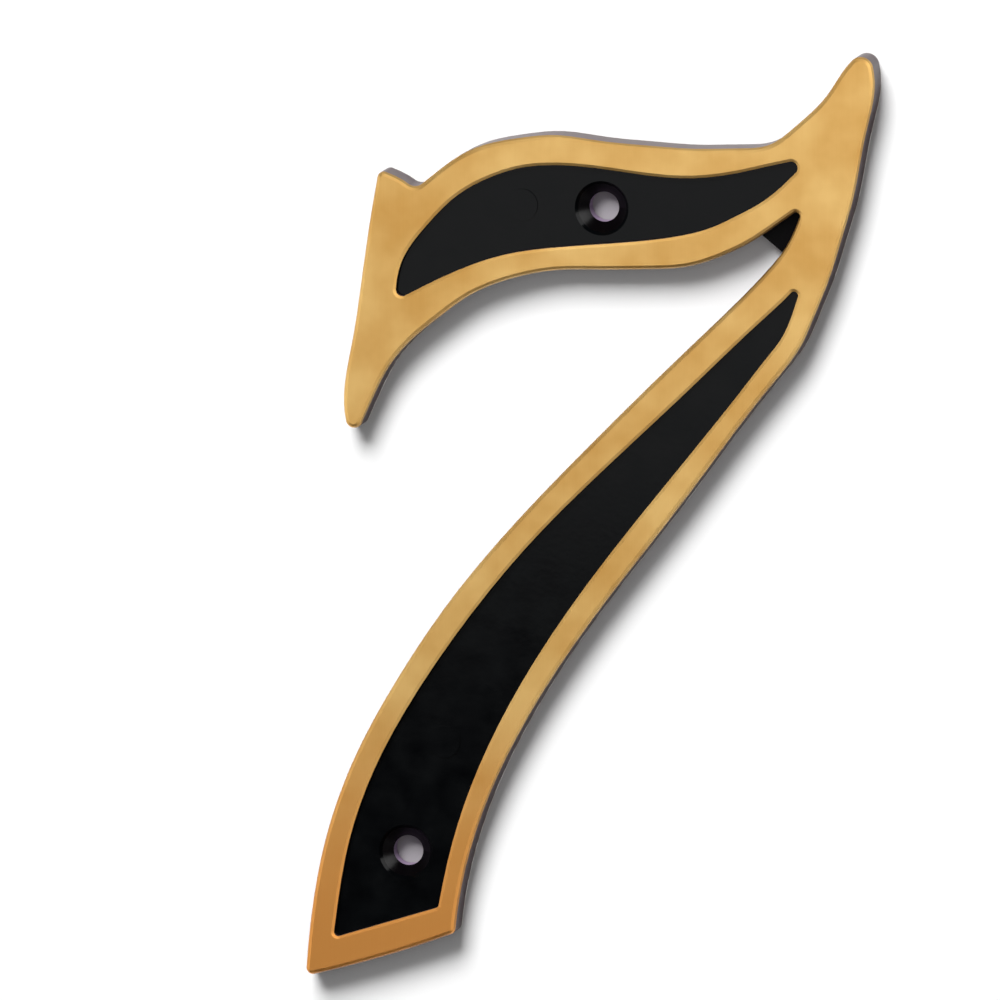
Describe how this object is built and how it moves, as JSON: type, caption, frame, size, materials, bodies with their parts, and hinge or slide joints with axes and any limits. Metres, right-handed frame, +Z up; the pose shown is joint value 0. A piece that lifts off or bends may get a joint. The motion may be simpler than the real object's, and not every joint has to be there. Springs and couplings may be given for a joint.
{
  "type": "house number",
  "caption": "Flat-backed cast numeral seven with a raised bare-metal rim, black recessed fields and countersunk holes for fixing it to a wall.",
  "frame": {"origin": "on the flat back, at the middle of the numeral's height and within 0.2 mm of the middle of its width", "axes": "+Z up the numeral as it hangs, +X to the right as read, +Y into the wall, -Y toward the reader"},
  "size_m": [0.0614, 0.0035, 0.1],
  "materials": {
    "brass": "linished face, satin",
    "black_enamel": "stoved black enamel, soft gloss"
  },
  "bodies": {
    "root": {"number_casting": "brass", "upper_enamel": "black_enamel", "leg_enamel": "black_enamel"}
  },
  "joints": []
}
